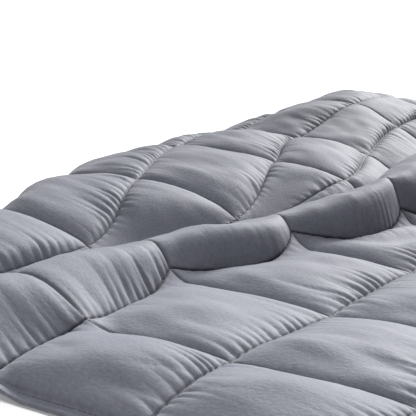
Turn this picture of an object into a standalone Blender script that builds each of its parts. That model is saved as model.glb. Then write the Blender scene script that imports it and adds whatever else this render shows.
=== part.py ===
"""Box-quilted filled blanket, laid loosely on a flat surface: one rolling ridge runs across it, the
cloth is gathered behind the ridge, and the far part lies turned and raised in a broad hump.

Metres, +Z up. The blanket's short side runs along X, its long side along Y, and its underside rests
on Z = 0. The origin is on that surface, under the middle of the blanket's bounding box.
"""
from collections import namedtuple

import bpy
import numpy as np

# Driving sizes of the sewn blanket, laid out flat
POCKET = 0.127            # pitch of the sewn squares
EDGE_ACROSS = 0.097       # width of the row of pockets along each long hem
EDGE_ALONG = 0.127        # and along each short hem
POCKETS_ACROSS = 8        # along X
POCKETS_ALONG = 10        # along Y
TOP_CROWN = 0.015         # how far a pocket swells over its seams
UNDER_CROWN = 0.0095      # the same below, before it is pressed flat by its weight
SEAM_THICKNESS = 0.0030   # both covers sewn together
SEAM_HEIGHT = 0.008       # middle of a seam over the surface, where the cloth lies flat
HEM_DROP = 0.0055         # how much lower the hems lie
HEM_DROP_WIDTH = 0.045
CROWN_POWER = 0.5         # roundness of a pocket, lower is fuller
SIDEWAYS_SHARE = 0.75     # how much of a slope's tilt the swelling follows
ROOM_REACH = 0.016        # how far on either side the cloth is looked at for gathers
TIGHTEST = 0.10           # share of its flat length at which gathered cloth no longer swells
OPEN_ENOUGH = 0.85        # share of its flat length from which it swells fully
SHALLOWEST = 0.0          # the surface it rests on

# Where the sheet's corner seams lie before it is folded: the seam crossing that stays in place is 0, 0
FIRST_ACROSS = -0.351
FIRST_ALONG = -0.635

# Places of the mesh points across one pocket, as shares of its width
POCKET_STEPS = (0.0, 0.15, 0.38, 0.62, 0.85)

# One row for each station along a fold. along and crest are places on the flat sheet, height is the
# crest over the flat lie, near and far are the widths of its two sides, take_up is the cloth that the
# fold draws in, and sag is how much further a pocket's middle bellies out than its seams do.
Station = namedtuple("Station", "along crest height near far take_up sag")

VALLEY = (
    Station(-0.354, 0.070, 0.000, 0.070, 0.055, 0.005, 0.000),
    Station(-0.254, 0.070, 0.000, 0.070, 0.055, 0.008, 0.000),
    Station(-0.127, 0.070, 0.000, 0.070, 0.055, -0.018, 0.016),
    Station(0.000, 0.070, 0.000, 0.070, 0.055, 0.005, 0.034),
    Station(0.127, 0.070, 0.000, 0.070, 0.055, 0.048, 0.022),
    Station(0.254, 0.070, 0.000, 0.070, 0.055, 0.050, 0.018),
    Station(0.381, 0.070, 0.000, 0.070, 0.055, 0.040, 0.010),
    Station(0.608, 0.070, 0.000, 0.070, 0.055, 0.020, 0.000),
)
RIDGE = (
    Station(-0.354, 0.200, 0.028, 0.120, 0.080, 0.030, 0.000),
    Station(-0.254, 0.195, 0.030, 0.110, 0.080, 0.030, 0.000),
    Station(-0.127, 0.160, 0.030, 0.060, 0.085, 0.053, -0.016),
    Station(0.000, 0.158, 0.030, 0.070, 0.090, 0.073, -0.034),
    Station(0.127, 0.158, 0.042, 0.055, 0.090, 0.066, -0.022),
    Station(0.254, 0.158, 0.044, 0.055, 0.085, 0.028, -0.018),
    Station(0.381, 0.158, 0.040, 0.055, 0.080, 0.020, -0.010),
    Station(0.608, 0.160, 0.026, 0.070, 0.080, 0.010, 0.000),
)
# This one runs along Y, so its places along and across the fold change roles
NEAR_SWELL = (
    Station(-0.635, -0.254, 0.000, 0.095, 0.115, 0.000, 0.000),
    Station(-0.254, -0.254, 0.005, 0.095, 0.115, 0.001, 0.000),
    Station(0.000, -0.254, 0.006, 0.095, 0.115, 0.001, 0.000),
    Station(0.127, -0.254, 0.003, 0.095, 0.115, 0.001, 0.000),
    Station(0.254, -0.254, 0.000, 0.095, 0.115, 0.000, 0.000),
    Station(0.635, -0.254, 0.000, 0.095, 0.115, 0.000, 0.000),
)
RIDGE_PINCH = 0.40        # how much narrower the ridge's near side is in the middle of a pocket
RIDGE_DIP = 0.24          # how much lower its crest is there

# Behind the ridge each row says where the seams along X lie at one place across: seam is the distance
# along Y and rise the height of the sheet's middle. The seams are counted from the crossing at 0, 0, and
# last is a line within the row of pockets at the far hem.
Beyond = namedtuple("Beyond", "across seam_3 rise_3 seam_4 rise_4 seam_5 rise_5 last last_rise hem hem_rise")
BEYOND = (
    Beyond(-0.351, 0.200, 0.016, 0.215, 0.014, 0.235, 0.018, 0.300, 0.018, 0.355, 0.008),
    Beyond(-0.254, 0.200, 0.019, 0.213, 0.016, 0.230, 0.022, 0.296, 0.029, 0.352, 0.014),
    Beyond(-0.127, 0.191, 0.019, 0.205, 0.017, 0.221, 0.024, 0.296, 0.036, 0.350, 0.019),
    Beyond(0.000, 0.156, 0.020, 0.164, 0.028, 0.2695, 0.0475, 0.338, 0.038, 0.390, 0.010),
    Beyond(0.127, 0.130, 0.042, 0.204, 0.049, 0.318, 0.050, 0.376, 0.022, 0.424, 0.008),
    Beyond(0.254, 0.173, 0.038, 0.255, 0.046, 0.340, 0.040, 0.394, 0.016, 0.438, 0.008),
    Beyond(0.381, 0.2026, 0.045, 0.256, 0.066, 0.342, 0.046, 0.390, 0.017, 0.430, 0.008),
    Beyond(0.508, 0.215, 0.040, 0.275, 0.053, 0.360, 0.034, 0.406, 0.016, 0.444, 0.008),
    Beyond(0.605, 0.220, 0.022, 0.295, 0.026, 0.380, 0.018, 0.424, 0.014, 0.462, 0.008),
)
JOIN = 0.205              # place on the flat sheet, just behind the ridge's crest, where the rows above begin
LAST = 0.575              # place on the flat sheet of the line called last

BLANKET_GREY = (0.300, 0.302, 0.335, 1.0)
BLANKET_ROUGHNESS = 0.85


def seam_lines(first, edge, count):
    """Places of the hems and seams across the flat sheet, from one hem to the other."""
    places = [first, first + edge]
    for _ in range(count - 2):
        places.append(places[-1] + POCKET)
    places.append(places[-1] + edge)
    return np.array(places)


SEAMS_X = seam_lines(FIRST_ACROSS, EDGE_ACROSS, POCKETS_ACROSS)
SEAMS_Y = seam_lines(FIRST_ALONG, EDGE_ALONG, POCKETS_ALONG)


def smooth(value):
    """0 to 1 with level ends."""
    value = np.clip(value, 0.0, 1.0)
    return value * value * (3.0 - 2.0 * value)


def column(table, name, along):
    """One column of a fold's table, read smoothly between its stations."""
    places = np.array([station.along for station in table])
    values = np.array([getattr(station, name) for station in table])
    index = np.clip(np.searchsorted(places, along) - 1, 0, len(places) - 2)
    share = smooth((along - places[index]) / (places[index + 1] - places[index]))
    return values[index] * (1.0 - share) + values[index + 1] * share


def share_in_pocket(place, seams):
    """How far across its own pocket a place lies, 0 at one seam and 1 at the next."""
    index = np.clip(np.searchsorted(seams, place, side="right") - 1, 0, len(seams) - 2)
    return (place - seams[index]) / (seams[index + 1] - seams[index])


def belly(place, seams):
    """0 on a seam and 1 halfway to the next."""
    return np.clip(1.0 - (2.0 * share_in_pocket(place, seams) - 1.0) ** 2, 0.0, 1.0)


def fold(table, along, across, seams, pinch=0.0, dip=0.0):
    """Lift of the cloth at a place, and how far the fold has drawn it in."""
    bellied = belly(along, seams)
    near = column(table, "near", along) * (1.0 - pinch * bellied)
    far = column(table, "far", along)
    offset = across - column(table, "crest", along)
    width = np.where(offset < 0.0, near, far)
    height = column(table, "height", along) * (1.0 - dip * bellied)
    lift = height * np.cos(0.5 * np.pi * np.clip(abs(offset) / width, 0, 1)) ** 2
    drawn = column(table, "take_up", along) + column(table, "sag", along) * bellied
    return lift, drawn * smooth((offset + near) / (near + far))


def near_lie(across, along):
    """Distance along Y and height of the sheet, up to the crest of the ridge."""
    lift, slip = fold(VALLEY, across, along, SEAMS_X)
    ridge_lift, ridge_slip = fold(RIDGE, across, along, SEAMS_X, RIDGE_PINCH, RIDGE_DIP)
    return np.stack([along - slip - ridge_slip, SEAM_HEIGHT + lift + ridge_lift])


def gentle_slopes(places, values):
    """Slopes for a curve through the values that swings past none of them."""
    steps = np.diff(places).reshape((-1,) + (1,) * (values.ndim - 1))
    rates = np.diff(values, axis=0) / steps
    product = rates[:-1] * rates[1:]
    total = np.where(product > 0.0, rates[:-1] + rates[1:], 1.0)
    inner = np.where(product > 0.0, 2.0 * product / total, 0.0)
    return np.concatenate([rates[:1], inner, rates[-1:]])


def curve(places, values, slopes, at):
    """Smooth curve through the values, with one column of them for each place asked for."""
    index = np.clip(np.searchsorted(places, at) - 1, 0, len(places) - 2)
    span = places[index + 1] - places[index]
    share = (at - places[index]) / span
    back = 1.0 - share

    def pick(source, row):
        return np.take_along_axis(source, row[None], axis=0)[0]

    straight = pick(values, index) * (1.0 + 2.0 * share) + pick(slopes, index) * span * share
    other = pick(values, index + 1) * (3.0 - 2.0 * share) - pick(slopes, index + 1) * span * back
    return straight * back ** 2 + other * share ** 2


def far_lie(across, along):
    """The same behind the crest, through the seams' places in the table."""
    stations = np.array([row.across for row in BEYOND])
    places = np.sort(np.concatenate([[JOIN, LAST], SEAMS_Y[SEAMS_Y > JOIN]]))
    at_join = np.full_like(across, JOIN)
    nudge = 0.002
    joined = near_lie(across, at_join)
    leaving = (near_lie(across, at_join + nudge) - near_lie(across, at_join - nudge)) / (2.0 * nudge)
    lies = []
    for first, begin, slope in zip((1, 2), joined, leaving):
        knots = [begin]
        for name in Beyond._fields[first::2]:
            values = np.array([getattr(row, name) for row in BEYOND])[:, None] * np.ones_like(across)
            knots.append(curve(stations, values, gentle_slopes(stations, values), across))
        knots = np.stack(knots)
        slopes = gentle_slopes(places, knots)
        slopes[0] = slope
        lies.append(curve(places, knots, slopes, along))
    return np.stack(lies)


def hem_distance(across, along):
    """Distance to the nearest of the four hems."""
    sides = (across - SEAMS_X[0], SEAMS_X[-1] - across, along - SEAMS_Y[0], SEAMS_Y[-1] - along)
    return np.maximum(np.minimum.reduce(sides), 0.0)


def middle(across, along):
    """The sheet's middle surface: where a place on the flat sheet lies once it is folded."""
    across, along = np.broadcast_arrays(across, along)
    shape = across.shape
    across, along = across.ravel(), along.ravel()
    forward, height = np.where(along < JOIN, near_lie(across, along), far_lie(across, along))
    lift, slip = fold(NEAR_SWELL, along, across, SEAMS_Y)
    drop = HEM_DROP * smooth(1.0 - hem_distance(across, along) / HEM_DROP_WIDTH)
    return np.stack([across - slip, forward, height + lift - drop]).reshape((3,) + shape)


def facing(across, along):
    """Unit direction in which the covers part, nearly square to the middle surface."""
    step = 0.004
    one_way = middle(across + step, along) - middle(across - step, along)
    other_way = middle(across, along + step) - middle(across, along - step)
    direction = np.cross(one_way, other_way, axis=0)
    direction[:2] *= SIDEWAYS_SHARE
    return direction / np.linalg.norm(direction, axis=0)


def room(across, along):
    """1 where the sheet lies open, near 0 where it is gathered and has no room to swell."""
    ends = middle(across, along + ROOM_REACH) - middle(across, along - ROOM_REACH)
    openness = np.linalg.norm(ends, axis=0) / (2.0 * ROOM_REACH)
    return smooth((openness - TIGHTEST) / (OPEN_ENOUGH - TIGHTEST))


def swelling(across, along):
    """0 on every seam and hem, 1 in the middle of a pocket that lies open."""
    full = (belly(across, SEAMS_X) * belly(along, SEAMS_Y)) ** CROWN_POWER
    return full * room(across, along)


def grid_places(seams):
    """Places of the mesh points across the sheet."""
    places = []
    for start, end in zip(seams[:-1], seams[1:]):
        places.extend(start + (end - start) * step for step in POCKET_STEPS)
    places.append(seams[-1])
    return np.array(places)


def cover_points(across, along, rise):
    """Points of one cover: rise is its half thickness, positive on top and negative below."""
    points = middle(across, along) + facing(across, along) * rise
    points[2] = np.maximum(points[2], SHALLOWEST)
    return points


def blanket_mesh():
    """Top and under covers on one grid, closed along the four hems."""
    across, along = np.meshgrid(grid_places(SEAMS_X), grid_places(SEAMS_Y), indexing="ij")
    full = swelling(across, along)
    half_seam = 0.5 * SEAM_THICKNESS
    top = cover_points(across, along, half_seam + TOP_CROWN * full)
    under = cover_points(across, along, -half_seam - UNDER_CROWN * full)
    both = np.stack([top, under]).transpose(0, 2, 3, 1)
    centre = 0.5 * (both[..., :2].min(axis=(0, 1, 2)) + both[..., :2].max(axis=(0, 1, 2)))
    both[..., :2] -= centre
    rows, columns = across.shape
    layer = rows * columns

    def point(side, row, col):
        return side * layer + row * columns + col

    faces = []
    for row in range(rows - 1):
        for col in range(columns - 1):
            ring = ((row, col), (row + 1, col), (row + 1, col + 1), (row, col + 1))
            faces.append([point(0, *corner) for corner in ring])
            faces.append([point(1, *corner) for corner in reversed(ring)])
    rim = [(row, 0) for row in range(rows)]
    rim += [(rows - 1, col) for col in range(1, columns)]
    rim += [(row, columns - 1) for row in range(rows - 2, -1, -1)]
    rim += [(0, col) for col in range(columns - 2, 0, -1)]
    for here, after in zip(rim, rim[1:] + rim[:1]):
        faces.append([point(0, *after), point(0, *here), point(1, *here), point(1, *after)])
    mesh = bpy.data.meshes.new("blanket")
    mesh.from_pydata(both.reshape(-1, 3).tolist(), [], faces)
    mesh.validate()
    mesh.update()
    return mesh


def blanket_material():
    """Soft grey woven cover."""
    material = bpy.data.materials.new("blanket_cloth")
    material.use_nodes = True
    shader = material.node_tree.nodes["Principled BSDF"]
    shader.inputs["Base Color"].default_value = BLANKET_GREY
    shader.inputs["Roughness"].default_value = BLANKET_ROUGHNESS
    shader.inputs["Metallic"].default_value = 0.0
    return material


def build():
    for old in list(bpy.data.objects):
        bpy.data.objects.remove(old, do_unlink=True)
    blanket = bpy.data.objects.new("blanket", blanket_mesh())
    blanket.data.materials.append(blanket_material())
    blanket.data.shade_smooth()
    bpy.context.scene.collection.objects.link(blanket)


build()
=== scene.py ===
"""The looks of the quilted blanket: its fine surface, hems, stitches, cloth, floor, light and camera."""
import math
from collections import namedtuple

import bpy
import numpy as np
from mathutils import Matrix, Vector


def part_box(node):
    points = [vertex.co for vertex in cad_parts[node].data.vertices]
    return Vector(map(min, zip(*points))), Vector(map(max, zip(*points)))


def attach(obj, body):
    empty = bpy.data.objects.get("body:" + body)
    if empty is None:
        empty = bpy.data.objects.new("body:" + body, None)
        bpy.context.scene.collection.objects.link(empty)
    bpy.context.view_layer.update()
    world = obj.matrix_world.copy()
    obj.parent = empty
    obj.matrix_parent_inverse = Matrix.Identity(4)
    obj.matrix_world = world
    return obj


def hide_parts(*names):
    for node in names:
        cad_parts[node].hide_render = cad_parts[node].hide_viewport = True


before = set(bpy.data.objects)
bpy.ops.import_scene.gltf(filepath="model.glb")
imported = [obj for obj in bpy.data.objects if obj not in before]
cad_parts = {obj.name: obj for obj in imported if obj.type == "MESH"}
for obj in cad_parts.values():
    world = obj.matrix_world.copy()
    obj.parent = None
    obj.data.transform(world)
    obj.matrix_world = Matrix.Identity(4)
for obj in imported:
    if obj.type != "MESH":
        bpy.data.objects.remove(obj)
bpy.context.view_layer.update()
NODE = "blanket"

# Sizes of the sewn blanket laid flat, in metres, as the solids have them
POCKET = 0.127
EDGE_ACROSS = 0.097
EDGE_ALONG = 0.127
POCKETS_ACROSS = 8
POCKETS_ALONG = 10
FIRST_ACROSS = -0.351
FIRST_ALONG = -0.635

# How the covers part. All but the power are as in the solids, whose pockets are a little less full.
TOP_CROWN = 0.015
UNDER_CROWN = 0.0095
CROWN_POWER = 0.45
SEAM_HEIGHT = 0.008       # height of a seam's middle where the sheet lies on the floor
HEM_DROP = 0.0055
HEM_DROP_WIDTH = 0.045
SIDEWAYS_SHARE = 0.75     # how much of their sideways lean the covers keep on a slope
ROOM_REACH = 0.016        # distance to each side over which the gathering is measured
TIGHTEST = 0.10           # share of its flat length at which gathered cloth has no room to swell
OPEN_ENOUGH = 0.85        # and the share at which it swells fully

# The hem and the seams
HEM_WIDTH = 0.0085        # from the edge to the topstitching
HALF_HEM = 0.0017         # half the thickness of the turned and sewn hem
HALF_SEAM = 0.0012        # half the thickness where the two covers are sewn together
HEM_STEP = 0.0012         # width over which the hem thins out into the seam
RIM_SHARE = 0.2           # share of its thickness that the hem keeps at its very edge
GROOVE = 0.0006           # depth of the line that the topstitching draws in
GROOVE_WIDTH = 0.0009
HEM_RIPPLE = 0.00035
HEM_RIPPLE_PITCH = 0.006
HEM_RIPPLE_DEPTH = 0.02
STITCH_PITCH = 0.0042
STITCH_LENGTH = 0.0031
THREAD_RADIUS = 0.00040
THREAD_SIDES = 4
THREAD_TAPER = 0.45       # thinness of a stitch at its ends
THREAD_SINK = 0.15        # how little its ends stand out of the cloth, in radii

# How pockets differ from each other, and how the detail fades where the cloth is sewn down
PLUMPNESS_SPREAD = 0.10
POCKET_DRAWS = 16
COVER_SEEDS = {1: 5, -1: 6}
CREASE_FADE = 0.35
LEAST_DETAIL = 0.25
PUCKER_START = 0.004      # distance from the hem at which the puckers begin
PUCKER_RAMP = 0.010

# Rows of puckers that fan out from a seam: pitch is their spacing along it, reach how far they run from
# it, rise how soon they stand up beside it, and height their size.
PuckerRow = namedtuple("PuckerRow", "pitch reach rise height seed")
SEAM_PUCKERS = (
    PuckerRow(0.0092, 0.0085, 0.0006, 0.0088, 11),
    PuckerRow(0.0210, 0.0200, 0.0060, 0.0046, 21),
)
CROSS_PUCKERS = (
    PuckerRow(0.0105, 0.0080, 0.0030, 0.0012, 31),
    PuckerRow(0.0270, 0.0220, 0.0100, 0.0012, 41),
)
WANDER = 1.5              # how far puckers leave their even spacing, in radians
WANDER_PITCHES = 2.2      # and the length of that wandering, in pitches
SKEW = 0.30               # how much they lean to a side
SKEW_LENGTH = 0.05
SHARPNESS = 0.8
CREST_LEVEL = 0.6         # what is taken off so that crests and valleys balance
STRENGTH = 0.70
STRENGTH_SPREAD = 0.45
STRENGTH_LENGTH = 0.030
LEAST_REACH = 0.5
REACH_SPREAD = 1.3
# How far apart in the noise the sides of the seams lie, for each trait of their puckers
SIDE_STEPS = (7.3, 3.1, 5.7, 9.1)

# Where the puckers are weaker or stronger
SHY_SIDE = 0.5            # on the near side of a seam
HEM_PUCKER = 2.8          # along the long hems
RIDGE_CALM = 0.75         # share that is missing on the ridge, where the cloth is stretched
RIDGE_SEAM = 6            # the seam along the foot of the ridge
CALM_SEAM = 2             # the seam across from which the ridge is stretched
RIDGE_FOOT_EDGE = 0.008
RIDGE_BACK_EDGE = 0.03
RIDGE_BACK = 0.005        # how far behind the join the stretched cloth ends
CALM_EDGE = 0.024

# Soft creases of the whole cover: turn leans them, and width and length are their size
Crease = namedtuple("Crease", "height turn width length seed")
CREASES = (
    Crease(0.00030, 0.0, 0.017, 0.085, 51),
    Crease(0.00015, 0.0, 0.009, 0.050, 52),
    Crease(0.00180, 0.4, 0.026, 0.070, 53),
    Crease(0.00080, -0.3, 0.014, 0.050, 54),
)

# Fineness of the mesh
STEPS_ALONG_SEAM = 96     # points in one pocket along X
CROSS_STEPS_TOP = 30      # points in one pocket along Y, on top
CROSS_STEPS_UNDER = 8     # and below
CROWDING = 0.75           # how much closer they lie beside the seams
HEM_STEPS = (0.0, 0.0003, 0.0009, 0.0018, 0.0042, 0.0066, 0.0076, 0.0085, 0.0094, 0.0108)
HEM_CLEAR = 0.0008        # least distance from the last of these to the next point
STRIPS = ((0, 3), (3, 6), (6, 8), (8, 10))    # rows of pockets in each piece
SAME_PLACE = 1e-6         # places that lie closer than this are one
BOX_SAMPLES = 800         # points along each hem that measure the sheet

# One row for each station along a fold. along and crest are places on the flat sheet, height is the
# crest over the flat lie, near and far are the widths of its two sides, take_up is the cloth that the
# fold draws in, and sag is how much further a pocket's middle bellies out than its seams do.
Station = namedtuple("Station", "along crest height near far take_up sag")

VALLEY = (
    Station(-0.354, 0.070, 0.000, 0.070, 0.055, 0.005, 0.000),
    Station(-0.254, 0.070, 0.000, 0.070, 0.055, 0.008, 0.000),
    Station(-0.127, 0.070, 0.000, 0.070, 0.055, -0.018, 0.016),
    Station(0.000, 0.070, 0.000, 0.070, 0.055, 0.005, 0.034),
    Station(0.127, 0.070, 0.000, 0.070, 0.055, 0.048, 0.022),
    Station(0.254, 0.070, 0.000, 0.070, 0.055, 0.050, 0.018),
    Station(0.381, 0.070, 0.000, 0.070, 0.055, 0.040, 0.010),
    Station(0.608, 0.070, 0.000, 0.070, 0.055, 0.020, 0.000),
)
RIDGE = (
    Station(-0.354, 0.200, 0.028, 0.120, 0.080, 0.030, 0.000),
    Station(-0.254, 0.195, 0.030, 0.110, 0.080, 0.030, 0.000),
    Station(-0.127, 0.160, 0.030, 0.060, 0.085, 0.053, -0.016),
    Station(0.000, 0.158, 0.030, 0.070, 0.090, 0.073, -0.034),
    Station(0.127, 0.158, 0.042, 0.055, 0.090, 0.066, -0.022),
    Station(0.254, 0.158, 0.044, 0.055, 0.085, 0.028, -0.018),
    Station(0.381, 0.158, 0.040, 0.055, 0.080, 0.020, -0.010),
    Station(0.608, 0.160, 0.026, 0.070, 0.080, 0.010, 0.000),
)
# This one runs along Y, so its places along and across the fold change roles
NEAR_SWELL = (
    Station(-0.635, -0.254, 0.000, 0.095, 0.115, 0.000, 0.000),
    Station(-0.254, -0.254, 0.005, 0.095, 0.115, 0.001, 0.000),
    Station(0.000, -0.254, 0.006, 0.095, 0.115, 0.001, 0.000),
    Station(0.127, -0.254, 0.003, 0.095, 0.115, 0.001, 0.000),
    Station(0.254, -0.254, 0.000, 0.095, 0.115, 0.000, 0.000),
    Station(0.635, -0.254, 0.000, 0.095, 0.115, 0.000, 0.000),
)
RIDGE_PINCH = 0.40        # how much narrower the ridge's near side is in the middle of a pocket
RIDGE_DIP = 0.24          # how much lower its crest is there

# Behind the ridge each row says where the seams along X lie at one place across: seam is the distance
# along Y and rise the height of the sheet's middle. The seams are counted from the crossing at 0, 0, and
# last is a line within the row of pockets at the far hem.
BEYOND_COLUMNS = "across seam_3 rise_3 seam_4 rise_4 seam_5 rise_5 last last_rise hem hem_rise"
Beyond = namedtuple("Beyond", BEYOND_COLUMNS)
BEYOND = (
    Beyond(-0.351, 0.200, 0.016, 0.215, 0.014, 0.235, 0.018, 0.300, 0.018, 0.355, 0.008),
    Beyond(-0.254, 0.200, 0.019, 0.213, 0.016, 0.230, 0.022, 0.296, 0.029, 0.352, 0.014),
    Beyond(-0.127, 0.191, 0.019, 0.205, 0.017, 0.221, 0.024, 0.296, 0.036, 0.350, 0.019),
    Beyond(0.000, 0.156, 0.020, 0.164, 0.028, 0.2695, 0.0475, 0.338, 0.038, 0.390, 0.010),
    Beyond(0.127, 0.130, 0.042, 0.204, 0.049, 0.318, 0.050, 0.376, 0.022, 0.424, 0.008),
    Beyond(0.254, 0.173, 0.038, 0.255, 0.046, 0.340, 0.040, 0.394, 0.016, 0.438, 0.008),
    Beyond(0.381, 0.2026, 0.045, 0.256, 0.066, 0.342, 0.046, 0.390, 0.017, 0.430, 0.008),
    Beyond(0.508, 0.215, 0.040, 0.275, 0.053, 0.360, 0.034, 0.406, 0.016, 0.444, 0.008),
    Beyond(0.605, 0.220, 0.022, 0.295, 0.026, 0.380, 0.018, 0.424, 0.014, 0.462, 0.008),
)
JOIN = 0.205              # place on the flat sheet, just behind the crest, where the rows above begin
LAST = 0.575              # place on the flat sheet of the line called last

# Cloth and thread
CLOTH_DARK = (0.108, 0.113, 0.140, 1.0)
CLOTH_LIGHT = (0.165, 0.170, 0.203, 1.0)
PAINTED_SHADE_WIDTH = 0.0024     # distance from a seam up to which the colour carries painted shade, where the covers nearly touch
PAINTED_SHADE_LEVEL = 0.42       # brightness of the cloth under that painted shade, which stands in for the crease's shadow
THREAD_LIGHT = (0.085, 0.087, 0.105, 1.0)
THREAD_DARK = tuple(0.8 * part for part in THREAD_LIGHT[:3]) + (1.0,)
THREAD_GRAIN = 900.0

# The weave, in cells of noise for each metre along X and Y of the flat cloth, and how it is mixed
SLUBS = (540.0, 250.0, 1.0)
CROSS_THREADS = (380.0, 900.0, 1.0)
MOTTLING = (22.0, 14.0, 1.0)
SLUB_SHARE = 0.55
MOTTLING_SHARE = 0.45
CROSS_THREAD_SHARE = 0.5

# The floor, and the photo's viewpoint, measured from the seam crossing at 0, 0
FLOOR_REACH = 30.0
FLOOR_GAP = 0.0004
CAMERA_HEIGHT = 0.294
CAMERA_PLACE = (-0.8556, -0.3995)
CAMERA_HEADING = 34.7                    # degrees from +X towards +Y
CAMERA_PITCH = 14.0                      # degrees downwards
FOCAL_SHARE = 1249.0 / 416.0             # focal length over the picture's width
SENSOR_WIDTH = 36.0


def seam_lines(first, edge, count):
    """Places of the hems and seams across the flat sheet, from one hem to the other."""
    places = [first, first + edge]
    for _ in range(count - 2):
        places.append(places[-1] + POCKET)
    places.append(places[-1] + edge)
    return np.array(places)


SEAMS_X = seam_lines(FIRST_ACROSS, EDGE_ACROSS, POCKETS_ACROSS)
SEAMS_Y = seam_lines(FIRST_ALONG, EDGE_ALONG, POCKETS_ALONG)


def smooth(value):
    """0 to 1 with level ends."""
    value = np.clip(value, 0.0, 1.0)
    return value * value * (3.0 - 2.0 * value)


def past(distance, width):
    """0 before a line and 1 behind it, with a smooth edge of that width centred on it."""
    return smooth((distance + 0.5 * width) / width)


def arch(share):
    """0 at both ends of a pocket and 1 halfway."""
    return 1.0 - (2.0 * share - 1.0) ** 2


def column(table, name, along):
    """One column of a fold's table, read smoothly between its stations."""
    places = np.array([station.along for station in table])
    values = np.array([getattr(station, name) for station in table])
    index = np.clip(np.searchsorted(places, along) - 1, 0, len(places) - 2)
    share = smooth((along - places[index]) / (places[index + 1] - places[index]))
    return values[index] * (1.0 - share) + values[index + 1] * share


def pocket_index(place, seams):
    """Number of the pocket in which a place lies."""
    return np.clip(np.searchsorted(seams, place, side="right") - 1, 0, len(seams) - 2)


def share_in_pocket(place, seams):
    """How far across its own pocket a place lies, 0 at one seam and 1 at the next."""
    index = pocket_index(place, seams)
    return np.clip((place - seams[index]) / (seams[index + 1] - seams[index]), 0.0, 1.0)


def fold(table, along, across, seams, pinch=0.0, dip=0.0):
    """Lift of the cloth at a place, and how far the fold has drawn it in."""
    bellied = arch(share_in_pocket(along, seams))
    near = column(table, "near", along) * (1.0 - pinch * bellied)
    far = column(table, "far", along)
    offset = across - column(table, "crest", along)
    width = np.where(offset < 0.0, near, far)
    height = column(table, "height", along) * (1.0 - dip * bellied)
    lift = height * np.cos(0.5 * np.pi * np.clip(abs(offset) / width, 0, 1)) ** 2
    drawn = column(table, "take_up", along) + column(table, "sag", along) * bellied
    return lift, drawn * smooth((offset + near) / (near + far))


def near_lie(across, along):
    """Distance along Y and height of the sheet, up to the crest of the ridge."""
    lift, slip = fold(VALLEY, across, along, SEAMS_X)
    ridge_lift, ridge_slip = fold(RIDGE, across, along, SEAMS_X, RIDGE_PINCH, RIDGE_DIP)
    return np.stack([along - slip - ridge_slip, SEAM_HEIGHT + lift + ridge_lift])


def gentle_slopes(places, values):
    """Slopes for a curve through the values that swings past none of them."""
    steps = np.diff(places).reshape((-1,) + (1,) * (values.ndim - 1))
    rates = np.diff(values, axis=0) / steps
    product = rates[:-1] * rates[1:]
    total = np.where(product > 0.0, rates[:-1] + rates[1:], 1.0)
    inner = np.where(product > 0.0, 2.0 * product / total, 0.0)
    return np.concatenate([rates[:1], inner, rates[-1:]])


def curve(places, values, slopes, at):
    """Smooth curve through the values, with one column of them for each place asked for."""
    index = np.clip(np.searchsorted(places, at) - 1, 0, len(places) - 2)
    span = places[index + 1] - places[index]
    share = (at - places[index]) / span
    back = 1.0 - share

    def pick(source, row):
        return np.take_along_axis(source, row[None], axis=0)[0]

    straight = pick(values, index) * (1.0 + 2.0 * share) + pick(slopes, index) * span * share
    other = pick(values, index + 1) * (3.0 - 2.0 * share) - pick(slopes, index + 1) * span * back
    return straight * back ** 2 + other * share ** 2


def far_lie(across, along):
    """The same behind the crest, through the seams' places in the table."""
    stations = np.array([row.across for row in BEYOND])
    places = np.sort(np.concatenate([[JOIN, LAST], SEAMS_Y[SEAMS_Y > JOIN]]))
    at_join = np.full_like(across, JOIN)
    nudge = 0.002
    joined = near_lie(across, at_join)
    leaving = (near_lie(across, at_join + nudge) - near_lie(across, at_join - nudge)) / (2.0 * nudge)
    lies = []
    for first, begin, slope in zip((1, 2), joined, leaving):
        knots = [begin]
        for name in Beyond._fields[first::2]:
            values = np.array([getattr(row, name) for row in BEYOND])[:, None] * np.ones_like(across)
            knots.append(curve(stations, values, gentle_slopes(stations, values), across))
        knots = np.stack(knots)
        slopes = gentle_slopes(places, knots)
        slopes[0] = slope
        lies.append(curve(places, knots, slopes, along))
    return np.stack(lies)


def hem_distance(across, along):
    """Distance to the nearest of the four hems."""
    sides = (across - SEAMS_X[0], SEAMS_X[-1] - across, along - SEAMS_Y[0], SEAMS_Y[-1] - along)
    return np.maximum(np.minimum.reduce(sides), 0.0)


def middle(across, along):
    """The sheet's middle surface: where a place on the flat sheet lies once it is folded."""
    across, along = np.broadcast_arrays(across, along)
    shape = across.shape
    across, along = across.ravel(), along.ravel()
    forward, height = np.where(along < JOIN, near_lie(across, along), far_lie(across, along))
    lift, slip = fold(NEAR_SWELL, along, across, SEAMS_Y)
    drop = HEM_DROP * smooth(1.0 - hem_distance(across, along) / HEM_DROP_WIDTH)
    return np.stack([across - slip, forward, height + lift - drop]).reshape((3,) + shape)


def facing(across, along):
    """Unit direction in which the covers part, nearly square to the middle surface."""
    step = 0.004
    one_way = middle(across + step, along) - middle(across - step, along)
    other_way = middle(across, along + step) - middle(across, along - step)
    direction = np.cross(one_way, other_way, axis=0)
    direction[:2] *= SIDEWAYS_SHARE
    return direction / np.linalg.norm(direction, axis=0)


def room(across, along):
    """1 where the sheet lies open, near 0 where it is gathered and has no room to swell."""
    ends = middle(across, along + ROOM_REACH) - middle(across, along - ROOM_REACH)
    openness = np.linalg.norm(ends, axis=0) / (2.0 * ROOM_REACH)
    return smooth((openness - TIGHTEST) / (OPEN_ENOUGH - TIGHTEST))


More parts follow.
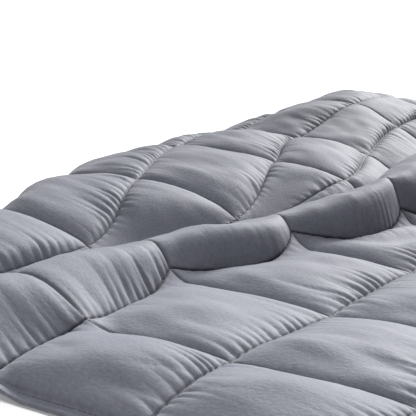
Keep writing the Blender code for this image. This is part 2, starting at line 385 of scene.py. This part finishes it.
def value_noise(u, v, seed):
    """Smooth noise from -1 to 1 over a plane, the same each run."""
    size = 256
    table = np.random.default_rng(seed).random((size, size)) * 2.0 - 1.0
    col = np.floor(u).astype(int)
    row = np.floor(v).astype(int)
    across = smooth(u - col)
    down = smooth(v - row)

    def corner(i, j):
        return table[(col + i) % size, (row + j) % size]

    near = corner(0, 0) * (1.0 - across) + corner(1, 0) * across
    far = corner(0, 1) * (1.0 - across) + corner(1, 1) * across
    return near * (1.0 - down) + far * down


def from_seam(place, seams):
    """Distance to the nearer seam of a pocket, and a number for that seam and side."""
    index = pocket_index(place, seams)
    below = place - seams[index]
    above = seams[index + 1] - place
    return np.minimum(below, above), np.where(below < above, 2 * index, 2 * index + 1)


def fullness(across, along):
    """0 on every seam and in the hems, 1 in the middle of a pocket."""
    full = 1.0
    for place, seams in ((across, SEAMS_X), (along, SEAMS_Y)):
        inner = seams.copy()
        inner[0] += HEM_WIDTH
        inner[-1] -= HEM_WIDTH
        full = full * arch(share_in_pocket(place, inner))
    return np.clip(full, 0.0, 1.0) ** CROWN_POWER


def pucker_row(row, place, depth, side):
    """Puckers that fan out square to a seam: place runs along it, depth away from it."""
    def trait(number, length):
        """From -1 to 1, wandering along the seam and different on each side of each seam."""
        return value_noise(place / length, side * SIDE_STEPS[number], row.seed + number)

    lean = SKEW * trait(1, SKEW_LENGTH) * depth
    phase = math.pi * (place + lean) / row.pitch + WANDER * trait(0, WANDER_PITCHES * row.pitch)
    crest = abs(np.sin(phase)) ** SHARPNESS - CREST_LEVEL
    strength = STRENGTH + STRENGTH_SPREAD * trait(2, STRENGTH_LENGTH)
    longer = LEAST_REACH + REACH_SPREAD * (0.5 + 0.5 * trait(3, row.pitch)) ** 2
    fade = depth / (depth + row.rise) * np.exp(-depth / (row.reach * longer))
    return row.height * crest * strength * fade


def puckers(across, along):
    """Height of all the puckers at a place: strong beside the seams along X, mild beside the others."""
    depth_y, side_y = from_seam(along, SEAMS_Y)
    depth_x, side_x = from_seam(across, SEAMS_X)
    on_ridge = past(along - SEAMS_Y[RIDGE_SEAM], RIDGE_FOOT_EDGE)
    on_ridge = on_ridge * past(JOIN + RIDGE_BACK - along, RIDGE_BACK_EDGE)
    on_ridge = on_ridge * past(across - SEAMS_X[CALM_SEAM], CALM_EDGE)
    own_side = np.where(side_y % 2 == 0, 1.0, SHY_SIDE) * (1.0 - RIDGE_CALM * on_ridge)
    at_hem = np.where((side_x == 0) | (side_x == 2 * POCKETS_ACROSS - 1), HEM_PUCKER, 1.0)
    beside_seams = sum(pucker_row(row, across, depth_y, side_y) for row in SEAM_PUCKERS)
    beside_others = sum(pucker_row(row, along, depth_x, side_x) for row in CROSS_PUCKERS)
    return own_side * beside_seams + at_hem * beside_others


def creases(across, along):
    """Long soft creases in the cover, mostly across the seams that run along X."""
    height = 0.0
    for crease in CREASES:
        sideways = (across + crease.turn * along) / crease.width
        lengthways = (along - crease.turn * across) / crease.length
        height = height + crease.height * value_noise(sideways, lengthways, crease.seed)
    return height


def half_thickness(across, along, crown, seed):
    """Half the thickness of the blanket on one side of its middle surface."""
    full = fullness(across, along) * room(across, along)
    edge = hem_distance(across, along)
    rounded = np.sqrt(np.clip(1.0 - (1.0 - np.clip(edge / HALF_HEM, 0.0, 1.0)) ** 2, 0.0, 1.0))
    in_hem = past(HEM_WIDTH - edge, HEM_STEP)
    sewn = HALF_HEM * in_hem + HALF_SEAM * (1.0 - in_hem)
    flat = (RIM_SHARE + (1.0 - RIM_SHARE) * rounded) * sewn
    groove = GROOVE * np.exp(-((edge - HEM_WIDTH) / GROOVE_WIDTH) ** 2)
    draws = np.random.default_rng(seed).random((POCKET_DRAWS, POCKET_DRAWS))
    drawn = draws[pocket_index(across, SEAMS_X), pocket_index(along, SEAMS_Y)]
    plump = 1.0 + PLUMPNESS_SPREAD * (drawn - 0.5)
    detail = puckers(across, along) * smooth((edge - PUCKER_START) / PUCKER_RAMP)
    detail = detail + creases(across, along) * smooth(full / CREASE_FADE)
    ripple = value_noise((across + along) / HEM_RIPPLE_PITCH, edge / HEM_RIPPLE_DEPTH, seed + 3)
    swell = crown * plump * full + detail * np.minimum(1.0, LEAST_DETAIL + full)
    return flat - groove + swell + HEM_RIPPLE * ripple * in_hem


def cover_points(across, along, side):
    """Points of the top cover with side 1, of the under cover with side -1."""
    crown = TOP_CROWN if side > 0 else UNDER_CROWN
    rise = side * half_thickness(across, along, crown, COVER_SEEDS[side])
    points = middle(across, along) + facing(across, along) * rise
    points[2] = np.maximum(points[2], 0.0)
    return points


def placed_shift():
    """How far the folded sheet is moved so that its box is centred on the frame's."""
    hems = []
    for fixed in (SEAMS_X[0], SEAMS_X[-1]):
        places = np.linspace(SEAMS_Y[0], SEAMS_Y[-1], BOX_SAMPLES)
        hems.append(middle(np.full_like(places, fixed), places)[:2])
    for fixed in (SEAMS_Y[0], SEAMS_Y[-1]):
        places = np.linspace(SEAMS_X[0], SEAMS_X[-1], BOX_SAMPLES)
        hems.append(middle(places, np.full_like(places, fixed))[:2])
    hems = np.concatenate(hems, axis=1)
    low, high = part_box(NODE)
    return [0.5 * (hems[i].min() + hems[i].max()) - 0.5 * (low[i] + high[i]) for i in (0, 1)]


SHIFT = placed_shift()


def move_to_frame(points):
    """The same points in the frame's own coordinates."""
    return points - np.array([SHIFT[0], SHIFT[1], 0.0]).reshape((3,) + (1,) * (points.ndim - 1))


def with_hems(seams, spaced):
    """Places of the mesh points over all pockets, with those of the hems at both ends."""
    places = []
    for index, (start, end) in enumerate(zip(seams[:-1], seams[1:])):
        inner = spaced(start, end)
        if index == 0:
            keep = inner[inner > start + HEM_STEPS[-1] + HEM_CLEAR]
            inner = np.concatenate([start + np.array(HEM_STEPS), keep])
        if index == len(seams) - 2:
            keep = inner[inner < end - HEM_STEPS[-1] - HEM_CLEAR]
            inner = np.concatenate([keep, end - np.array(HEM_STEPS[::-1])])
        places.append(inner if index == 0 else inner[1:])
    return np.concatenate(places)


def even_places():
    """Places of the mesh points along X: even, and finer in the two hems."""
    return with_hems(SEAMS_X, lambda start, end: np.linspace(start, end, STEPS_ALONG_SEAM + 1))


def cross_places(count):
    """Places of the mesh points along Y: close beside the seams, wider in a pocket's middle."""
    share = np.linspace(0.0, 1.0, count + 1)
    share = share - CROWDING * np.sin(2.0 * math.pi * share) / (2.0 * math.pi)
    return with_hems(SEAMS_Y, lambda start, end: start + (end - start) * share)


def added(name, data):
    """A new object in the scene."""
    item = bpy.data.objects.new(name, data)
    bpy.context.scene.collection.objects.link(item)
    return item


def new_piece(name, vertices, faces, material, uv=None):
    """A piece of the blanket from its points and triangles, with its place on the flat cloth as UV."""
    mesh = bpy.data.meshes.new(name)
    mesh.vertices.add(len(vertices))
    mesh.vertices.foreach_set("co", np.asarray(vertices, dtype=np.float32).ravel())
    corners = faces.ravel()
    mesh.loops.add(len(corners))
    mesh.loops.foreach_set("vertex_index", corners.astype(np.int32))
    mesh.polygons.add(len(faces))
    mesh.polygons.foreach_set("loop_start", np.arange(0, len(corners), faces.shape[1], dtype=np.int32))
    mesh.update(calc_edges=True)
    mesh.validate()
    mesh.shade_smooth()
    if uv is not None:
        layer = mesh.uv_layers.new(name="flat_cloth")
        layer.data.foreach_set("uv", uv[corners].astype(np.float32).ravel())
    mesh.materials.append(material)
    piece = added(name, mesh)
    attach(piece, "root")
    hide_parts(NODE)
    return piece


def grid_faces(rows, columns, start, turned):
    """Four-sided faces of one cover, turned round on the underside."""
    index = start + np.arange(rows * columns).reshape(rows, columns)
    ring = [index[:-1, :-1], index[1:, :-1], index[1:, 1:], index[:-1, 1:]]
    if turned:
        ring = ring[::-1]
    return np.stack([part.ravel() for part in ring], axis=1)


def seam_wall(rows, top_columns, under_columns, far):
    """Four-sided faces that close a strip along its near or far seam."""
    row = np.arange(rows - 1)
    top = row * top_columns
    under = rows * top_columns + row * under_columns
    if far:
        top = top + top_columns - 1
        under = under + under_columns - 1
    ring = [top, under, under + under_columns, top + top_columns]
    return np.stack(ring[::-1] if far else ring, axis=1)


def hem_wall(top_start, top_places, under_start, under_places, turned):
    """Triangles that close a strip at one hem, between the rims of the two covers."""
    faces = []
    i = j = 0
    last_top, last_under = len(top_places) - 1, len(under_places) - 1
    while i < last_top or j < last_under:
        if j == last_under or (i < last_top and top_places[i + 1] <= under_places[j + 1] + SAME_PLACE):
            face = [top_start + i, top_start + i + 1, under_start + j]
            i += 1
        else:
            face = [top_start + i, under_start + j + 1, under_start + j]
            j += 1
        faces.append(face[::-1] if turned else face)
    return np.array(faces)


def strip(name, first_row, last_row, material):
    """One closed piece of the blanket: the pockets between two of the seams along X."""
    low, high = SEAMS_Y[first_row] - SAME_PLACE, SEAMS_Y[last_row] + SAME_PLACE
    across = even_places()
    top_places, under_places = (
        places[(places > low) & (places < high)]
        for places in (cross_places(CROSS_STEPS_TOP), cross_places(CROSS_STEPS_UNDER))
    )
    points, flat = [], []
    for places, side in ((top_places, 1), (under_places, -1)):
        grid = np.meshgrid(across, places, indexing="ij")
        points.append(move_to_frame(cover_points(*grid, side)).reshape(3, -1).T)
        flat.append(np.stack([part.ravel() for part in grid], axis=1))
    rows, top_columns, under_columns = len(across), len(top_places), len(under_places)
    start = rows * top_columns
    quads = np.concatenate([
        grid_faces(rows, top_columns, 0, False),
        grid_faces(rows, under_columns, start, True),
        seam_wall(rows, top_columns, under_columns, False),
        seam_wall(rows, top_columns, under_columns, True),
    ])
    last = rows - 1
    faces = np.concatenate([
        quads[:, [0, 1, 2]],
        quads[:, [0, 2, 3]],
        hem_wall(0, top_places, start, under_places, False),
        hem_wall(last * top_columns, top_places, start + last * under_columns, under_places, True),
    ])
    piece = new_piece(name, np.concatenate(points), faces, material, np.concatenate(flat))
    return piece


def stitch_run(start, end, side):
    """Ends and middles of the stitches along one straight line of sewing, on the folded cloth."""
    start, end = np.array(start), np.array(end)
    length = np.linalg.norm(end - start)
    count = int(length / STITCH_PITCH)
    along_run = (np.arange(count) + 0.5) / count
    direction = (end - start) / length
    centres = start + np.outer(along_run, end - start)
    knots = []
    for share, lift in ((-0.5, THREAD_SINK), (0.0, 1.0), (0.5, THREAD_SINK)):
        flat = centres + direction * STITCH_LENGTH * share
        points = cover_points(flat[:, 0], flat[:, 1], side)
        normal = facing(flat[:, 0], flat[:, 1]) * side
        knots.append(move_to_frame(points + normal * THREAD_RADIUS * lift))
    return np.stack(knots, axis=0)


def sewing(side):
    """All stitches seen from one side: the squares' seams and the topstitching inside the hems."""
    low_x, high_x = SEAMS_X[0] + HEM_WIDTH, SEAMS_X[-1] - HEM_WIDTH
    low_y, high_y = SEAMS_Y[0] + HEM_WIDTH, SEAMS_Y[-1] - HEM_WIDTH
    runs = [((low_x, y), (high_x, y)) for y in SEAMS_Y[1:-1]]
    runs += [((x, low_y), (x, high_y)) for x in SEAMS_X[1:-1]]
    corners = [(low_x, low_y), (high_x, low_y), (high_x, high_y), (low_x, high_y)]
    runs += list(zip(corners, corners[1:] + corners[:1]))
    return np.concatenate([stitch_run(start, end, side) for start, end in runs], axis=2)


def stitches(name, side, material):
    """Every stitch as a short thread, thick in the middle and dipping into the cloth at its ends."""
    knots = sewing(side)
    count = knots.shape[2]
    axis = knots[2] - knots[0]
    axis /= np.linalg.norm(axis, axis=0)
    upwards = np.zeros_like(axis)
    upwards[2] = 1.0
    across = np.cross(axis, upwards, axis=0)
    across /= np.linalg.norm(across, axis=0)
    upwards = np.cross(across, axis, axis=0)
    points = []
    for knot, taper in zip(knots, (THREAD_TAPER, 1.0, THREAD_TAPER)):
        for turn in range(THREAD_SIDES):
            angle = 2.0 * math.pi * turn / THREAD_SIDES
            out = math.cos(angle) * across + math.sin(angle) * upwards
            points.append(knot + taper * THREAD_RADIUS * out)
    vertices = np.stack(points, axis=0).transpose(2, 0, 1)
    faces = []
    for ring in (0, 1):
        for turn in range(THREAD_SIDES):
            here = ring * THREAD_SIDES + turn
            after = ring * THREAD_SIDES + (turn + 1) % THREAD_SIDES
            faces.append((here, after, after + THREAD_SIDES))
            faces.append((here, after + THREAD_SIDES, here + THREAD_SIDES))
    far_end = 2 * THREAD_SIDES
    for turn in range(1, THREAD_SIDES - 1):
        faces.append((0, turn + 1, turn))
        faces.append((far_end, far_end + turn, far_end + turn + 1))
    starts = np.arange(count) * vertices.shape[1]
    faces = (np.array(faces)[None] + starts[:, None, None]).reshape(-1, 3)
    return new_piece(name, vertices.reshape(-1, 3), faces, material)


def link(tree, start, end):
    """Joins an output socket to an input socket."""
    tree.links.new(start, end)


def math_node(tree, operation, *values):
    """Result of a sum whose values are sockets or numbers, in the order of the node's inputs."""
    node = tree.nodes.new("ShaderNodeMath")
    node.operation = operation
    for socket, value in zip(node.inputs, values):
        if isinstance(value, float):
            socket.default_value = value
        else:
            link(tree, value, socket)
    return node.outputs[0]


def ramp(tree, factor, low, dark, high, light):
    """Colours from dark, up to the low share, to light, from the high share on."""
    node = tree.nodes.new("ShaderNodeValToRGB")
    for element, place, color in zip(node.color_ramp.elements, (low, high), (dark, light)):
        element.position = place
        element.color = color
    link(tree, factor, node.inputs["Fac"])
    return node.outputs["Color"]


def with_painted_seam_shade(tree, place, color):
    """The cloth's colour with painted shade: darker in the narrow crease beside each seam."""
    parts = tree.nodes.new("ShaderNodeSeparateXYZ")
    link(tree, place, parts.inputs["Vector"])
    distances = [math_node(tree, "PINGPONG", parts.outputs[axis], 0.5 * POCKET) for axis in "XY"]
    # Painted shade: the colour darkens towards every seam line, where the crease's shadow would fall
    painted_shade = tree.nodes.new("ShaderNodeMapRange")
    painted_shade.interpolation_type = "SMOOTHSTEP"
    painted_shade.inputs["From Max"].default_value = PAINTED_SHADE_WIDTH
    painted_shade.inputs["To Min"].default_value = PAINTED_SHADE_LEVEL
    painted_shade.inputs["To Max"].default_value = 1.0
    link(tree, math_node(tree, "MINIMUM", *distances), painted_shade.inputs["Value"])
    product = tree.nodes.new("ShaderNodeVectorMath")
    product.operation = "SCALE"
    link(tree, color, product.inputs[0])
    link(tree, painted_shade.outputs["Result"], product.inputs["Scale"])
    return product.outputs["Vector"]


def new_material(name):
    """A material with its node tree and its main shader."""
    material = bpy.data.materials.new(name)
    material.use_nodes = True
    return material, material.node_tree, material.node_tree.nodes["Principled BSDF"]


def cloth_material():
    """Fine plain-woven cover: uneven threads that run along Y, a faint sheen, a soft mottling and
    painted shade beside the seams.
    """
    material, tree, shader = new_material("quilted_cotton")
    shader.inputs["Roughness"].default_value = 0.72
    shader.inputs["Specular IOR Level"].default_value = 0.25
    shader.inputs["Sheen Weight"].default_value = 0.12
    shader.inputs["Sheen Roughness"].default_value = 0.45
    flat = tree.nodes.new("ShaderNodeUVMap")
    flat.uv_map = "flat_cloth"

    def stretched_noise(scale, detail):
        mapping = tree.nodes.new("ShaderNodeMapping")
        mapping.inputs["Scale"].default_value = scale
        link(tree, flat.outputs["UV"], mapping.inputs["Vector"])
        noise = tree.nodes.new("ShaderNodeTexNoise")
        noise.inputs["Scale"].default_value = 1.0
        noise.inputs["Detail"].default_value = detail
        link(tree, mapping.outputs["Vector"], noise.inputs["Vector"])
        return noise.outputs["Fac"]

    slubs = stretched_noise(SLUBS, 3.0)
    cross_threads = stretched_noise(CROSS_THREADS, 2.0)
    mottling = stretched_noise(MOTTLING, 3.0)
    mixed = math_node(tree, "MULTIPLY_ADD", slubs, SLUB_SHARE,
                      math_node(tree, "MULTIPLY", mottling, MOTTLING_SHARE))
    tone = ramp(tree, mixed, 0.30, CLOTH_DARK, 0.70, CLOTH_LIGHT)
    # The base colour carries painted shade in the creases beside the seams
    link(tree, with_painted_seam_shade(tree, flat.outputs["UV"], tone), shader.inputs["Base Color"])
    bump = tree.nodes.new("ShaderNodeBump")
    bump.inputs["Strength"].default_value = 0.7
    bump.inputs["Distance"].default_value = 0.0004
    weave = math_node(tree, "MULTIPLY_ADD", cross_threads, CROSS_THREAD_SHARE, slubs)
    link(tree, weave, bump.inputs["Height"])
    link(tree, bump.outputs["Normal"], shader.inputs["Normal"])
    return material


def thread_material():
    """Sewing thread, a shade darker than the cloth, with a little gloss and a fine twist."""
    material, tree, shader = new_material("sewing_thread")
    shader.inputs["Roughness"].default_value = 0.5
    place = tree.nodes.new("ShaderNodeTexCoord")
    noise = tree.nodes.new("ShaderNodeTexNoise")
    noise.inputs["Scale"].default_value = THREAD_GRAIN
    link(tree, place.outputs["Object"], noise.inputs["Vector"])
    tone = ramp(tree, noise.outputs["Fac"], 0.35, THREAD_DARK, 0.65, THREAD_LIGHT)
    link(tree, tone, shader.inputs["Base Color"])
    return material


def blanket():
    """The cloth in strips, and the stitches of its two sides."""
    cloth = cloth_material()
    for number, (first_row, last_row) in enumerate(STRIPS):
        strip("blanket_cloth_" + str(number + 1), first_row, last_row, cloth)
    thread = thread_material()
    stitches("seam_stitches_top", 1, thread)
    stitches("seam_stitches_under", -1, thread)


def floor():
    """A plain white surface under the blanket, far larger than the view and bright in itself."""
    reach = FLOOR_REACH
    corners = [(-reach, -reach, 0), (reach, -reach, 0), (reach, reach, 0), (-reach, reach, 0)]
    mesh = bpy.data.meshes.new("floor")
    mesh.from_pydata(corners, [], [(0, 1, 2, 3)])
    material, _, shader = new_material("floor_white")
    shader.inputs["Base Color"].default_value = (0.92, 0.92, 0.92, 1.0)
    shader.inputs["Roughness"].default_value = 0.9
    shader.inputs["Specular IOR Level"].default_value = 0.1
    shader.inputs["Emission Color"].default_value = (1.0, 1.0, 1.0, 1.0)
    shader.inputs["Emission Strength"].default_value = 0.22
    mesh.materials.append(material)
    surface = added("floor", mesh)
    surface.location.z = -FLOOR_GAP


def direction(heading, rise):
    """Unit vector with a heading from +X towards +Y and a rise over the level, both in degrees."""
    turn, rise = math.radians(heading), math.radians(rise)
    return Vector((math.cos(rise) * math.cos(turn), math.cos(rise) * math.sin(turn), math.sin(rise)))


def camera():
    """The photo's viewpoint."""
    data = bpy.data.cameras.new("camera")
    data.sensor_fit = "HORIZONTAL"
    data.sensor_width = SENSOR_WIDTH
    data.lens = SENSOR_WIDTH * FOCAL_SHARE
    data.clip_start = 0.01
    viewpoint = added("camera", data)
    viewpoint.location = (CAMERA_PLACE[0] - SHIFT[0], CAMERA_PLACE[1] - SHIFT[1], CAMERA_HEIGHT)
    looking = direction(CAMERA_HEADING, -CAMERA_PITCH)
    viewpoint.rotation_euler = looking.to_track_quat("-Z", "Y").to_euler()
    bpy.context.scene.camera = viewpoint


def sun(name, heading, rise, strength, spread):
    """A broad far light that comes from that heading and rise."""
    data = bpy.data.lights.new(name, "SUN")
    data.energy = strength
    data.angle = math.radians(spread)
    added(name, data).rotation_euler = direction(heading, rise).to_track_quat("Z", "Y").to_euler()


def soft_box(name, place, target, size, power):
    """A broad near light that shines from its place towards the target."""
    data = bpy.data.lights.new(name, "AREA")
    data.shape = "SQUARE"
    data.size = size
    data.energy = power
    light = added(name, data)
    light.location = place
    light.rotation_euler = (Vector(place) - Vector(target)).to_track_quat("Z", "Y").to_euler()


def studio():
    """A low sun from behind and the right, a soft box over the near corner, and a dim even fill."""
    sun("key", heading=6.0, rise=28.0, strength=7.3, spread=28.0)
    soft_box("near_box", place=(-0.50, 0.13, 0.75), target=(-0.42, 0.10, 0.0), size=0.45, power=4.7)
    world = bpy.data.worlds.new("studio")
    world.use_nodes = True
    background = world.node_tree.nodes["Background"]
    background.inputs["Color"].default_value = (0.93, 0.95, 1.0, 1.0)
    background.inputs["Strength"].default_value = 0.09
    bpy.context.scene.world = world
    bpy.context.scene.view_settings.view_transform = "Standard"


camera()
blanket()
floor()
studio()
